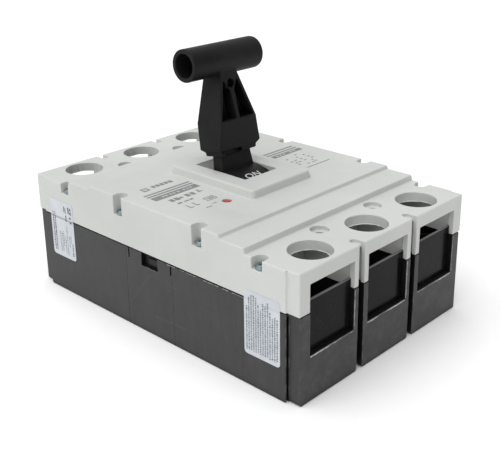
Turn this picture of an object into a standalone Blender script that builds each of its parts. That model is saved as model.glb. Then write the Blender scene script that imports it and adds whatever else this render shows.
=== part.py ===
"""Three-pole moulded-case circuit breaker with a slip-on extension handle.

Frame: X across the poles, Y along the poles (line end +Y, load end -Y), Z up.
The origin is the centre of the base's underside.  Sizes are in millimetres
and are turned into metres by the helper functions.
"""
import math

import bmesh
import bpy
from mathutils import Matrix, Vector

MM = 0.001
GAP = 0.3                      # clearance between touching pieces

# ---- housing -------------------------------------------------------------
HALF_W = 91.0                  # half the overall width
HALF_L = 135.0                 # half the overall length
POLE_PITCH = 58.0
POLES = (("a", -POLE_PITCH), ("b", 0.0), ("c", POLE_PITCH))
PHASE_X = POLE_PITCH / 2       # plane between two poles
Z_SEAM = 61.4
Z_TERMINAL = 90.4              # top of the cover over the terminals
Z_STEP = 94.4
Z_PLATFORM = 97.0
Z_COLLAR = 102.9
STEP_FRONT = (-91.1, -68.8)    # where the cover's top steps up, load end
STEP_REAR = (66.5, 91.6)
STEP_RUN = 1.0                 # length of each sloping riser
FLOOR = 6.0
SIDE_WALL = 4.0
PHASE_WALL = 2.5               # half the thickness of a wall between poles
CHAMBER_Y = 88.0               # chambers end here
TERMINAL_Y = 92.0              # terminal compartments start here
END_WALL = 4.7
SILL = 32.4                    # bottom of the terminal windows
LINTEL_LOAD = 80.7             # top of the terminal windows at the load end
LINTEL_LINE = 83.0             # and at the line end
ROOF = 83.6                    # underside of the cover over the terminals
WINDOW_HALF = 21.75
PLATE_Y = (129.6, 131.3)       # the black plates stand in rebates of the end walls
PLATE_TOP = 67.9
COMPARTMENT_HALF = 22.5
END_BLOCK = 9.8                # length of the narrower end blocks
BASE_INSET = 2.6               # how far the base's end blocks stand in
COVER_INSET = 1.4
SLOT_HALF = 3.05               # barrier slot between two poles
SLOT_LIP = 3.4                 # length of its narrow mouth
SLOT_HEAD_HALF = 5.2           # half width of the channel behind the mouth
SLOT_HEAD_Z = 86.0             # the channel ends here, under a web
SLOT_DIP = 2.4                 # depth of the groove over the web
CORNER_GROOVE = (88.0, 90.2)   # undercut behind the step of each end block, in X
CORNER_GROOVE_DEPTH = 3.0
TOE_ROUND = 2.1                # lower corners of the end blocks, seen from the end
EDGE_ROUND = 0.9

# ---- holes ---------------------------------------------------------------
BOLT_Y = 116.3
BOLT_HOLE_R = 14.5
FIXING_Y = 100.0
FIXING_R = 3.5
FIXING_RECESS_R = 6.45
FIXING_RECESS_Z = 87.2
SCREW_X = 86.5
SCREW_Y = (97.0, 33.0, -48.3, -101.5)
SCREW_SEAT = 82.7
SCREW_POCKET_R = 4.5
SCREW_HEAD_R = 3.8
SCREW_SHANK_R = 1.8
SCREW_TIP_Z = 45.0

# ---- operating window, toggle and handle ---------------------------------
COLLAR_X = 30.6
COLLAR_Y = (-41.7, 42.4)
COLLAR_FLARE = 1.7
COLLAR_ROUND = 1.3
COLLAR_CORNER = 3.2
WINDOW_X = 16.9
WINDOW_Y = (-21.2, 30.1)
WINDOW_SLOPE = (24.6, 94.8)    # foot of the sloping wall at the window's line end
PIVOT_Y = 0.0
PIVOT_Z = 61.0
LEAN_DEG = 9.95                # the toggle's lean towards the line end at rest
SHUTTER_R = 41.0
SHUTTER_T = 2.5
SHUTTER_SPAN = (-59.0, 66.0)
TOGGLE_HALF_X = 16.4
HANDLE_FOOT = 53.3             # heights along the toggle from its pivot
HANDLE_LIP = 56.0
HANDLE_SKIRT = 58.8
HANDLE_SHOULDER = 78.0
HANDLE_NECK = 113.5
GRIP_W = 122.75
GRIP_R = 12.05
GRIP_BORE_R = 8.8
GRIP_LENGTH = 70.7
GRIP_SHIFT = 1.5               # the tube stands a little off the stem's middle

# ---- current path --------------------------------------------------------
BAR_HALF_X = 15.0
BAR_Z = (32.7, 38.7)
BAR_END_Y = 126.0
PAD_Y = (93.5, 125.5)          # raised terminal pad on each bar
PAD_RISE = 0.8
PAD_HALF_X = 14.4
SHAFT_Y, SHAFT_Z, SHAFT_R = 10.0, 36.0, 9.0
CONTACT_OPEN_DEG = 13.0        # how far the contacts stand open at rest
CONTACT_Y = (50.0, 57.0)

# ---- trip parts ----------------------------------------------------------
TRIP_Y, TRIP_Z, TRIP_R = -46.0, 66.0, 4.0
BUTTON_X, BUTTON_Y = -44.3, -30.0
BUTTON_R = 3.2
ARMATURE_Y, ARMATURE_Z = -74.0, 61.0

COLLECTION = "molded_case_breaker"
CUTTERS = "cutters"


# ---- scene and material helpers -------------------------------------------
def clear_scene():
    for obj in list(bpy.data.objects):
        bpy.data.objects.remove(obj, do_unlink=True)
    for group in list(bpy.data.collections):
        bpy.data.collections.remove(group)


def new_collection(name):
    group = bpy.data.collections.new(name)
    bpy.context.scene.collection.children.link(group)
    return group


def material(name, colour, roughness, metallic=0.0):
    mat = bpy.data.materials.get(name)
    if mat is None:
        mat = bpy.data.materials.new(name)
        mat.use_nodes = True
        shader = mat.node_tree.nodes["Principled BSDF"]
        shader.inputs["Base Color"].default_value = (*colour, 1.0)
        shader.inputs["Roughness"].default_value = roughness
        shader.inputs["Metallic"].default_value = metallic
    return mat


def base_plastic():
    return material("base_plastic", (0.075, 0.075, 0.078), 0.55)


def cover_plastic():
    return material("cover_plastic", (0.62, 0.63, 0.61), 0.45)


def handle_plastic():
    return material("handle_plastic", (0.022, 0.022, 0.023), 0.45)


def insert_plastic():
    return material("insert_plastic", (0.012, 0.012, 0.013), 0.15)


def inner_plastic():
    return material("inner_plastic", (0.10, 0.09, 0.08), 0.6)


def button_plastic():
    return material("button_plastic", (0.60, 0.03, 0.03), 0.35)


def zinc():
    return material("zinc", (0.55, 0.60, 0.66), 0.3, 1.0)


def copper():
    return material("copper", (0.72, 0.40, 0.26), 0.35, 1.0)


def silvered():
    return material("silvered_copper", (0.75, 0.74, 0.72), 0.3, 1.0)


def steel():
    return material("steel", (0.50, 0.50, 0.52), 0.4, 1.0)


def label_paper():
    return material("label_paper", (0.72, 0.75, 0.79), 0.5)


# ---- mesh helpers -----------------------------------------------------------
def place_object(name, mesh, group, mat=None, parent=None):
    obj = bpy.data.objects.new(name, mesh)
    bpy.data.collections[group].objects.link(obj)
    if mat is not None:
        mesh.materials.append(mat)
    if parent is not None:
        obj.parent = parent
    return obj


def as_cutter(obj):
    obj.hide_render = True
    obj.display_type = "WIRE"
    return obj


def mesh_from(name, bm):
    bmesh.ops.recalc_face_normals(bm, faces=bm.faces)
    mesh = bpy.data.meshes.new(name)
    bm.to_mesh(mesh)
    bm.free()
    return mesh


def box_mesh(name, low, high):
    low, high = Vector(low) * MM, Vector(high) * MM
    bm = bmesh.new()
    bmesh.ops.create_cube(bm, size=1.0)
    size = high - low
    bmesh.ops.scale(bm, vec=size, verts=bm.verts)
    bmesh.ops.translate(bm, vec=(low + high) / 2, verts=bm.verts)
    return mesh_from(name, bm)


def along(axis):
    """Rotation that lays a +Z shape along the named axis."""
    if axis == "X":
        return Matrix.Rotation(math.pi / 2, 4, "Y")
    if axis == "Y":
        return Matrix.Rotation(-math.pi / 2, 4, "X")
    return Matrix.Identity(4)


def cylinder_mesh(name, radius, centre, length, axis="Z", sides=32, top_radius=None):
    """A cylinder or cone centred at centre, with its length along axis."""
    bm = bmesh.new()
    top = radius if top_radius is None else top_radius
    bmesh.ops.create_cone(bm, cap_ends=True, segments=sides, radius1=radius * MM,
                          radius2=top * MM, depth=length * MM)
    bmesh.ops.transform(bm, matrix=Matrix.Translation(Vector(centre) * MM) @ along(axis),
                        verts=bm.verts)
    return mesh_from(name, bm)


def prism_mesh(name, outline, axis, low, high):
    """A closed outline extruded along axis; points are the other two axes in order."""
    bm = bmesh.new()
    verts = []
    for first, second in outline:
        if axis == "X":
            point = (low, first, second)
        elif axis == "Y":
            point = (first, low, second)
        else:
            point = (first, second, low)
        verts.append(bm.verts.new(Vector(point) * MM))
    face = bm.faces.new(verts)
    swept = bmesh.ops.extrude_face_region(bm, geom=[face])["geom"]
    shift = Vector([high - low if name_ == axis else 0.0 for name_ in "XYZ"]) * MM
    moved = [item for item in swept if isinstance(item, bmesh.types.BMVert)]
    bmesh.ops.translate(bm, vec=shift, verts=moved)
    return mesh_from(name, bm)


def loft_mesh(name, rings):
    """Rectangular sections (height, half x, half y) joined up the Z axis."""
    bm = bmesh.new()
    loops = []
    for height, half_x, half_y in rings:
        corners = ((-1, -1), (1, -1), (1, 1), (-1, 1))
        loops.append([bm.verts.new(Vector((cx * half_x, cy * half_y, height)) * MM)
                      for cx, cy in corners])
    for lower, upper in zip(loops, loops[1:]):
        for i in range(4):
            j = (i + 1) % 4
            bm.faces.new((lower[i], lower[j], upper[j], upper[i]))
    bm.faces.new(list(reversed(loops[0])))
    bm.faces.new(loops[-1])
    return mesh_from(name, bm)


def helix_points(radius, bottom, top, turns, per_turn, centre):
    count = turns * per_turn
    points = []
    for i in range(count + 1):
        angle = 2 * math.pi * i / per_turn
        height = bottom + (top - bottom) * i / count
        points.append((centre[0] + radius * math.cos(angle),
                       centre[1] + radius * math.sin(angle), height))
    return points


def wire_mesh(name, points, radius, matrix=None):
    """A round wire through the points, as a closed mesh."""
    curve = bpy.data.curves.new(name + "_curve", "CURVE")
    curve.dimensions = "3D"
    curve.bevel_depth = radius * MM
    curve.bevel_resolution = 1
    curve.use_fill_caps = True
    spline = curve.splines.new("POLY")
    spline.points.add(len(points) - 1)
    for point, position in zip(spline.points, points):
        point.co = (*(Vector(position) * MM), 1.0)
    carrier = bpy.data.objects.new(name + "_carrier", curve)
    bpy.context.scene.collection.objects.link(carrier)
    graph = bpy.context.evaluated_depsgraph_get()
    raw = bpy.data.meshes.new_from_object(carrier.evaluated_get(graph))
    bpy.data.objects.remove(carrier, do_unlink=True)
    bm = bmesh.new()
    bm.from_mesh(raw)
    bmesh.ops.remove_doubles(bm, verts=bm.verts, dist=0.00001)
    if matrix is not None:
        bmesh.ops.transform(bm, matrix=matrix, verts=bm.verts)
    return mesh_from(name, bm)


def arc(centre, radius, start_deg, end_deg, steps):
    """Points on an arc; 0 degrees is the first axis, 90 the second."""
    points = []
    for i in range(steps + 1):
        angle = math.radians(start_deg + (end_deg - start_deg) * i / steps)
        points.append((centre[0] + radius * math.cos(angle),
                       centre[1] + radius * math.sin(angle)))
    return points


class Shape:
    """A piece made from one body, added bodies and cut-away bodies, in that order."""

    def __init__(self, name, mesh, mat, parent=None):
        self.name = name
        self.parent = parent
        self.obj = place_object(name, mesh, COLLECTION, mat, parent)
        self.steps = 0

    def boolean(self, operation, meshes):
        self.steps += 1
        group = bpy.data.collections.new(f"{self.name}_step_{self.steps}")
        bpy.data.collections[CUTTERS].children.link(group)
        for mesh in meshes:
            cutter = bpy.data.objects.new(mesh.name, mesh)
            group.objects.link(cutter)
            cutter.parent = self.parent
            as_cutter(cutter)
        modifier = self.obj.modifiers.new(operation.lower(), "BOOLEAN")
        modifier.operation = operation
        modifier.operand_type = "COLLECTION"
        modifier.collection = group
        modifier.solver = "EXACT"
        return self

    def cut(self, *meshes):
        return self.boolean("DIFFERENCE", meshes)

    def join(self, *meshes):
        return self.boolean("UNION", meshes)

    def round_edges(self, width, segments=2, angle=35.0):
        modifier = self.obj.modifiers.new("round", "BEVEL")
        modifier.width = width * MM
        modifier.segments = segments
        modifier.limit_method = "ANGLE"
        modifier.angle_limit = math.radians(angle)
        return self

    def smooth(self, angle=35.0):
        self.obj.data.shade_smooth()
        self.obj.data.set_sharp_from_angle(angle=math.radians(angle))
        return self


def empty(name, location, rotation_x_deg=0.0, parent=None):
    obj = bpy.data.objects.new(name, None)
    bpy.data.collections[COLLECTION].objects.link(obj)
    obj.location = Vector(location) * MM
    obj.rotation_euler = (math.radians(rotation_x_deg), 0.0, 0.0)
    obj.parent = parent
    return obj


# ---- cutters that the base and the cover share --------------------------------
def mirrored_y(value):
    return (-value, value)


def span(first, second):
    return min(first, second), max(first, second)


def end_span(sign, near, far):
    """A stretch of Y towards one end, from near to far."""
    return span(sign * near, sign * far)


def terminal_spaces(z_low, roof, lintels):
    """Terminal compartments with their windows in the end walls."""
    cutters = []
    for letter, pole in POLES:
        for sign, lintel in zip((-1, 1), lintels):
            y0, y1 = end_span(sign, TERMINAL_Y, HALF_L - END_WALL)
            cutters.append(box_mesh(f"compartment_{letter}",
                                    (pole - COMPARTMENT_HALF, y0, z_low),
                                    (pole + COMPARTMENT_HALF, y1, roof)))
            y0, y1 = end_span(sign, HALF_L - END_WALL - 1.0, HALF_L + 1.0)
            cutters.append(box_mesh(f"window_{letter}", (pole - WINDOW_HALF, y0, z_low),
                                    (pole + WINDOW_HALF, y1, lintel)))
            y0, y1 = end_span(sign, HALF_L - END_WALL - 0.6, PLATE_Y[1] + GAP)
            top = min(roof - 0.02, PLATE_TOP + GAP)
            cutters.append(box_mesh(f"rebate_{letter}", (pole - COMPARTMENT_HALF + 0.02, y0, z_low),
                                    (pole + COMPARTMENT_HALF - 0.02, y1, top)))
    return cutters


def corner_grooves():
    """Upright undercuts in the steps between the base's sides and its end blocks."""
    cutters = []
    for side in (-1, 1):
        for sign in (-1, 1):
            x0, x1 = span(side * CORNER_GROOVE[0], side * CORNER_GROOVE[1])
            edge = HALF_L - END_BLOCK
            y0, y1 = end_span(sign, edge - CORNER_GROOVE_DEPTH, edge + 0.5)
            cutters.append(box_mesh("corner_groove", (x0, y0, -1), (x1, y1, Z_SEAM - 1.4)))
    return cutters


def rounded_toes():
    """Cutters that round the lower corners of the three legs at both ends."""
    legs = [(side * (HALF_W - BASE_INSET), -side, END_BLOCK - 0.2) for side in (-1, 1)]
    legs += [(x + inward * SLOT_HALF, inward, SLOT_LIP + 0.2)
             for x in (-PHASE_X, PHASE_X) for inward in (-1, 1)]
    cutters = []
    for x, inward, length in legs:
        middle = x + inward * TOE_ROUND
        outside = x - inward * 0.6
        outline = [(middle, -1.0)] + arc((middle, TOE_ROUND), TOE_ROUND, 270, 270 - inward * 90, 5)
        outline += [(outside, TOE_ROUND), (outside, -1.0)]
        for sign in (-1, 1):
            y0, y1 = end_span(sign, HALF_L - length, HALF_L + 1)
            cutters.append(prism_mesh("toe", outline, "Y", y0, y1))
    return cutters


def barrier_slots():
    """Slots for phase barriers in both ends: a narrow mouth and a wider channel behind it."""
    cutters = []
    for x in (-PHASE_X, PHASE_X):
        for sign in (-1, 1):
            y0, y1 = end_span(sign, HALF_L - SLOT_LIP - 0.5, HALF_L + 1.0)
            cutters.append(box_mesh("mouth", (x - SLOT_HALF, y0, -1), (x + SLOT_HALF, y1, 99)))
            y0, y1 = end_span(sign, HALF_L - END_BLOCK, HALF_L - SLOT_LIP)
            cutters.append(box_mesh("channel", (x - SLOT_HEAD_HALF, y0, -1),
                                    (x + SLOT_HEAD_HALF, y1, SLOT_HEAD_Z)))
    return cutters


def slot_dips():
    """Shallow round-ended grooves in the top face that lead to the barrier slots."""
    cutters = []
    for x in (-PHASE_X, PHASE_X):
        for sign in (-1, 1):
            end = (x, sign * (HALF_L - END_BLOCK + SLOT_HALF))
            mouth_y = sign * (HALF_L - SLOT_LIP - 0.2)
            outline = arc(end, SLOT_HALF, 0, -180 * sign, 12)
            outline += [(x - SLOT_HALF, mouth_y), (x + SLOT_HALF, mouth_y)]
            cutters.append(prism_mesh("dip", outline, "Z", Z_TERMINAL - SLOT_DIP, 99.5))
    return cutters


def fixing_holes():
    return [cylinder_mesh("fixing_hole", FIXING_R, (x, y, 45), 120, sides=24)
            for x in (-PHASE_X, PHASE_X) for y in mirrored_y(FIXING_Y)]


def plan_outline(inset):
    """Plan of the housing, narrower over the two end blocks."""
    inner_y = HALF_L - END_BLOCK
    narrow = HALF_W - inset
    return [(-narrow, -HALF_L), (narrow, -HALF_L), (narrow, -inner_y), (HALF_W, -inner_y),
            (HALF_W, inner_y), (narrow, inner_y), (narrow, HALF_L), (-narrow, HALF_L),
            (-narrow, inner_y), (-HALF_W, inner_y), (-HALF_W, -inner_y), (-narrow, -inner_y)]


def screw_places():
    return [(side * SCREW_X, y) for y in SCREW_Y for side in (-1, 1)]


# ---- base ----------------------------------------------------------------------
def chamber_spans():
    """X range of each pole's chamber."""
    inner = PHASE_X - PHASE_WALL
    outer = PHASE_X + PHASE_WALL
    wall = HALF_W - SIDE_WALL
    return ((-wall, -outer), (-inner, inner), (outer, wall))


def base_side_details():
    """Shallow marks on the base's two long sides: pocket, clips and guide lines."""
    cutters = []
    for side in (-1, 1):
        def strip(name, y0, y1, z0, z1, depth):
            x0, x1 = span(side * (HALF_W - depth), side * (HALF_W + 1))
            return box_mesh(name, (x0, y0, z0), (x1, y1, z1))
        cutters.append(strip("side_pocket", -8.2, 9.2, 51.7, Z_SEAM + 1, 3.3))
        cutters.append(strip("clip_slot_rear", 22.1, 23.4, 53.8, Z_SEAM + 1, 2.6))
        cutters.append(strip("clip_slot_front", -22.3, -21.0, 53.4, Z_SEAM + 1, 2.6))
        for y in (25.8, -23.4):
            cutters.append(strip("guide_line", y, y + 0.5, -1, 60.2, 0.08))
    return cutters


def pocket_latches():
    """The stepped latch block inside each side pocket."""
    blocks = []
    for side in (-1, 1):
        x0, x1 = span(side * (HALF_W - 3.6), side * (HALF_W - 2.3))
        blocks.append(box_mesh("latch", (x0, -5.8, 53.5), (x1, 3.8, 58.2)))
    return blocks


def make_base():
    body = prism_mesh("base_housing", plan_outline(BASE_INSET), "Z", 0.0, Z_SEAM)
    base = Shape("base_housing", body, base_plastic()).round_edges(EDGE_ROUND)
    chambers = [box_mesh("chamber", (x0, -CHAMBER_Y, FLOOR), (x1, CHAMBER_Y, Z_SEAM + 5))
                for x0, x1 in chamber_spans()]
    bar_ways = []
    for _, pole in POLES:
        for sign in (-1, 1):
            y0, y1 = end_span(sign, CHAMBER_Y - 1, TERMINAL_Y + 1)
            bar_ways.append(box_mesh("bar_way", (pole - BAR_HALF_X - 0.4, y0, BAR_Z[0] - 0.3),
                                     (pole + BAR_HALF_X + 0.4, y1, BAR_Z[1] + 0.4)))
    above = Z_SEAM + 5
    base.cut(*chambers, *terminal_spaces(SILL, above, (above - 0.01, above - 0.01)),
             *bar_ways, *barrier_slots())
    pillars = []
    for side in (-1, 1):
        for y in SCREW_Y[1:3]:
            x0, x1 = span(side * (HALF_W - SIDE_WALL + 1), side * (HALF_W - 9.5))
            pillars.append(box_mesh("pillar", (x0, y - 5.5, FLOOR - 1), (x1, y + 5.5, Z_SEAM)))
    ears = [box_mesh("bearing_ear", (x - PHASE_WALL, TRIP_Y - 8, Z_SEAM - 10),
                     (x + PHASE_WALL, TRIP_Y + 8, TRIP_Z + 7)) for x in (-PHASE_X, PHASE_X)]
    base.join(*pillars, *ears)
    bearings = []
    for x in (-PHASE_X, PHASE_X):
        for y, z, r, top in ((SHAFT_Y, SHAFT_Z, SHAFT_R + GAP, Z_SEAM + 1),
                             (TRIP_Y, TRIP_Z, TRIP_R + GAP, TRIP_Z + 8)):
            outline = arc((y, z), r, 180, 360, 12) + [(y + r, top), (y - r, top)]
            bearings.append(prism_mesh("bearing_notch", outline, "X", x - 4, x + 4))
    screw_holes = [cylinder_mesh("screw_hole", SCREW_SHANK_R + 0.3, (x, y, 53), 20, sides=16)
                   for x, y in screw_places()]
    base.cut(*bearings, *screw_holes, *fixing_holes(), *base_side_details(), *corner_grooves(),
             *rounded_toes())
    base.join(*pocket_latches())
    return base.smooth()


# ---- cover ---------------------------------------------------------------------
def cover_profile():
    """Side profile of the cover (Y, Z), up one end, along the steps and down again."""
    y_a, y_b = STEP_FRONT
    y_c, y_d = STEP_REAR
    half = STEP_RUN / 2
    bottom = Z_SEAM + GAP
    return [(-HALF_L, bottom), (HALF_L, bottom), (HALF_L, Z_TERMINAL),
            (y_d + half, Z_TERMINAL), (y_d - half, Z_STEP),
            (y_c + half, Z_STEP), (y_c - half, Z_PLATFORM),
            (y_b + half, Z_PLATFORM), (y_b - half, Z_STEP),
            (y_a + half, Z_STEP), (y_a - half, Z_TERMINAL), (-HALF_L, Z_TERMINAL)]


def cover_end_insets():
    """Blocks cut from the cover's corners, which narrow its two end blocks."""
    cutters = []
    for side in (-1, 1):
        for sign in (-1, 1):
            x0, x1 = span(side * (HALF_W - COVER_INSET), side * (HALF_W + 1))
            y0, y1 = end_span(sign, HALF_L - END_BLOCK, HALF_L + 1)
            cutters.append(box_mesh("end_inset", (x0, y0, Z_SEAM - 1), (x1, y1, 99)))
    return cutters


def collar_mesh():
    mid_y = sum(COLLAR_Y) / 2
    half_y = (COLLAR_Y[1] - COLLAR_Y[0]) / 2
    mesh = loft_mesh("collar", [
        (Z_PLATFORM - 2, COLLAR_X + COLLAR_FLARE, half_y + COLLAR_FLARE),
        (Z_COLLAR, COLLAR_X, half_y)])
    bm = bmesh.new()
    bm.from_mesh(mesh)
    corners = [edge for edge in bm.edges
               if abs(edge.verts[0].co.z - edge.verts[1].co.z) > MM]
    bmesh.ops.bevel(bm, geom=corners, offset=COLLAR_CORNER * MM, segments=5, profile=0.5,
                    affect="EDGES")
    rim = [edge for edge in bm.edges
           if min(vert.co.z for vert in edge.verts) > (Z_PLATFORM + 1) * MM
           and edge.calc_face_angle() > math.radians(30)]
    bmesh.ops.bevel(bm, geom=rim, offset=COLLAR_ROUND * MM, segments=3, profile=0.5,
                    affect="EDGES")
    bmesh.ops.translate(bm, vec=(0, mid_y * MM, 0), verts=bm.verts)
    return mesh_from("collar", bm)


def cover_cavities():
    """The space over the pole chambers, lower under the stepped ends."""
    wall = HALF_W - SIDE_WALL
    low = Z_SEAM - 1
    main = box_mesh("main_cavity", (-wall, STEP_FRONT[1] + 3, low),
                    (wall, STEP_REAR[0] - 3, Z_PLATFORM - 4))
    ends = box_mesh("end_cavity", (-wall, -CHAMBER_Y, low),
                    (wall, CHAMBER_Y, Z_STEP - 4.2))
    return [main, ends]


def cover_pillars():
    """Material round the two middle screws on each side."""
    pillars = []
    for side in (-1, 1):
        for y in SCREW_Y[1:3]:
            x0, x1 = span(side * (HALF_W - 2), side * (HALF_W - 10.8))
            pillars.append(box_mesh("pillar", (x0, y - 6.8, Z_SEAM + GAP),
                                    (x1, y + 6.8, Z_PLATFORM - 3)))
    return pillars


def screw_pockets():
    """Half-round notches in the long sides, with a seat and a hole for each screw."""
    cutters = []
    for x, y in screw_places():
        side = math.copysign(1, x)
        mid = (SCREW_SEAT + 100) / 2
        length = 100 - SCREW_SEAT
        cutters.append(cylinder_mesh("pocket", SCREW_POCKET_R, (x, y, mid), length, sides=24))
        x0, x1 = span(x, side * (HALF_W + 1))
        cutters.append(box_mesh("pocket_mouth", (x0, y - SCREW_POCKET_R + 0.02, SCREW_SEAT),
                                (x1, y + SCREW_POCKET_R - 0.02, 100)))
        cutters.append(cylinder_mesh("screw_way", SCREW_SHANK_R + 0.3, (x, y, 72), 30, sides=16))
    return cutters


def bolt_access_holes():
    cutters = []
    for _, pole in POLES:
        for y in mirrored_y(BOLT_Y):
            cutters.append(cylinder_mesh("bolt_hole", BOLT_HOLE_R, (pole, y, 86), 16, sides=40))
            cutters.append(cylinder_mesh("bolt_hole_lip", BOLT_HOLE_R - 0.4,
                                         (pole, y, Z_TERMINAL), 1.6, sides=40,
                                         top_radius=BOLT_HOLE_R + 1.2))
    return cutters


def fixing_recesses():
    depth = 100 - FIXING_RECESS_Z
    return [cylinder_mesh("fixing_recess", FIXING_RECESS_R,
                          (x, y, FIXING_RECESS_Z + depth / 2), depth, sides=32)
            for x in (-PHASE_X, PHASE_X) for y in mirrored_y(FIXING_Y)]


def operating_window():
    load_y, line_y = WINDOW_Y
    foot_y, foot_z = WINDOW_SLOPE
    outline = [(load_y, 80), (foot_y, 80), (foot_y, foot_z), (line_y, Z_COLLAR - 0.9),
               (line_y, 110), (load_y, 110)]
    opening = prism_mesh("operating_window", outline, "X", -WINDOW_X, WINDOW_X)
    sweep = cylinder_mesh("shutter_sweep", SHUTTER_R + 0.8, (0, PIVOT_Y, PIVOT_Z),
                          2 * (WINDOW_X - 0.05), "X", sides=64)
    return [opening, sweep]


def make_cover():
    body = prism_mesh("top_cover", cover_profile(), "X", -HALF_W, HALF_W)
    cover = Shape("top_cover", body, cover_plastic())
    cover.cut(*cover_end_insets()).round_edges(EDGE_ROUND, angle=50.0)
    cover.join(collar_mesh())
    cover.cut(*cover_cavities(), *barrier_slots(), *slot_dips(),
              *terminal_spaces(Z_SEAM - 1, ROOF, (LINTEL_LOAD, LINTEL_LINE)))
    cover.join(*cover_pillars())
    button_hole = cylinder_mesh("button_hole", BUTTON_R + 0.4, (BUTTON_X, BUTTON_Y, 96), 10,
                                sides=24)
    cover.cut(*screw_pockets(), *bolt_access_holes(), *fixing_recesses(), *fixing_holes(),
              *operating_window(), button_hole)
    return cover.smooth()


# ---- fasteners, terminals and labels ---------------------------------------------
def make_cover_screws():
    """Pan-head screws with a crossed recess, one in each side pocket."""
    for number, (x, y) in enumerate(screw_places(), 1):
        seat = SCREW_SEAT + GAP
        head = cylinder_mesh("head", SCREW_HEAD_R, (x, y, seat + 1.4), 2.8, sides=20,
                             top_radius=SCREW_HEAD_R - 0.9)
        screw = Shape(f"cover_screw_{number}", head, zinc())
        shank = cylinder_mesh("shank", SCREW_SHANK_R,
                              (x, y, (seat + 1 + SCREW_TIP_Z) / 2), seat + 1 - SCREW_TIP_Z,
                              sides=12)
        screw.join(shank)
        arms = [box_mesh("cross", (x - a, y - b, seat + 1.3), (x + a, y + b, seat + 4))
                for a, b in ((2.2, 0.45), (0.44, 2.21))]
        screw.cut(*arms).smooth()


def make_terminal_plates():
    """Glossy black plates that stand behind the lower part of each window."""
    for end, sign in (("line", 1), ("load", -1)):
        for letter, pole in POLES:
            y0, y1 = end_span(sign, *PLATE_Y)
            mesh = box_mesh("plate", (pole - COMPARTMENT_HALF + GAP, y0, SILL + GAP),
                            (pole + COMPARTMENT_HALF - GAP, y1, PLATE_TOP))
            Shape(f"terminal_plate_{end}_{letter}", mesh, insert_plastic())


def terminal_pad(pole, sign):
    y0, y1 = end_span(sign, *PAD_Y)
    return box_mesh("pad", (pole - PAD_HALF_X, y0, BAR_Z[1] - 1),
                    (pole + PAD_HALF_X, y1, BAR_Z[1] + PAD_RISE))


def make_terminal_bars():
    """Plated copper bars with raised pads; the line bars carry the fixed contacts."""
    hole_z = sum(BAR_Z) / 2
    for letter, pole in POLES:
        bar = Shape(f"line_bar_{letter}",
                    box_mesh("bar", (pole - BAR_HALF_X, 48, BAR_Z[0]),
                             (pole + BAR_HALF_X, BAR_END_Y, BAR_Z[1])), silvered())
        bar.join(box_mesh("fixed_contact", (pole - 8, CONTACT_Y[0], BAR_Z[1] - 1),
                          (pole + 8, CONTACT_Y[1], BAR_Z[1] + 3)), terminal_pad(pole, 1))
        bar.cut(cylinder_mesh("bolt_way", 5.5, (pole, BOLT_Y, hole_z), 12, sides=24)).smooth()
        bar = Shape(f"load_bar_{letter}",
                    box_mesh("bar", (pole - BAR_HALF_X, -BAR_END_Y, BAR_Z[0]),
                             (pole + BAR_HALF_X, -44, BAR_Z[1])), silvered())
        bar.join(terminal_pad(pole, -1))
        bar.cut(cylinder_mesh("bolt_way", 5.5, (pole, -BOLT_Y, hole_z), 12, sides=24)).smooth()


def make_labels():
    """Two stickers on the left side, across the seam."""
    for name, y0, y1, z0, z1 in (("side_label_line", 88.6, 117.6, 29.2, 75.4),
                                 ("side_label_load", -120.8, -90.7, 23.0, 67.6)):
        radius = 2.5
        outline = []
        for cy, cz, start in ((y1 - radius, z1 - radius, 0), (y0 + radius, z1 - radius, 90),
                              (y0 + radius, z0 + radius, 180), (y1 - radius, z0 + radius, 270)):
            outline += arc((cy, cz), radius, start, start + 90, 5)
        Shape(name, prism_mesh("label", outline, "X", -HALF_W - 0.2, -HALF_W - 0.05),
              label_paper())


# ---- contacts and arc chutes -------------------------------------------------------
def make_contact_shaft(shaft_frame):
    """Moulded bar across the poles, with the ear that the drive link pulls on."""
    bar = cylinder_mesh("bar", SHAFT_R, (0, 0, 0), 168, "X", sides=24)
    shaft = Shape("contact_shaft", bar, inner_plastic(), shaft_frame)
    ear = prism_mesh("ear", [(-14, 3), (-3, 3), (-3, 9), (-7, 14), (-14, 14)], "X", -4, 4)
    shaft.join(ear)
    shaft.cut(cylinder_mesh("link_hole", 2.4, (0, -10, 9.9), 12, "X", sides=16))
    return shaft.smooth()


def make_moving_contacts(contact_frame):
    """Copper arms in their closed position relative to the contact frame."""
    saddle = arc((0, 0), SHAFT_R + GAP + 0.1, 80, 0, 8)
    outline = saddle + [(13, 0), (13, 8), (30, 9.4), (38, 8.6), (39.8, 6.2), (47, 6.2),
                        (47, 10.5), (42, 15), (2.6, 15)]
    for letter, pole in POLES:
        Shape(f"moving_contact_{letter}",
              prism_mesh("arm", outline, "X", pole - 6, pole + 6), copper(), contact_frame)


def make_arc_chutes():
    """Splitter plates held between two insulating cheeks, one stack for each pole."""
    y0, y1, z0, z1 = 62.0, 84.0, 44.0, 86.0
    for letter, pole in POLES:
        cheek = box_mesh("cheek", (pole - 20, y0, z0), (pole - 18, y1, z1))
        chute = Shape(f"arc_chute_{letter}", cheek, steel())
        parts = [box_mesh("cheek", (pole + 18, y0, z0), (pole + 20, y1, z1))]
        count = 8
        for i in range(count):
            z = z0 + 2 + i * (z1 - z0 - 5) / (count - 1)
            outline = [(pole - 18.5, y0 + 0.5), (pole - 5, y0 + 0.5), (pole, y0 + 9),
                       (pole + 5, y0 + 0.5), (pole + 18.5, y0 + 0.5),
                       (pole + 18.5, y1 - 0.5), (pole - 18.5, y1 - 0.5)]
            parts.append(prism_mesh("splitter", outline, "Z", z, z + 1.2))
        chute.join(*parts)


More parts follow.
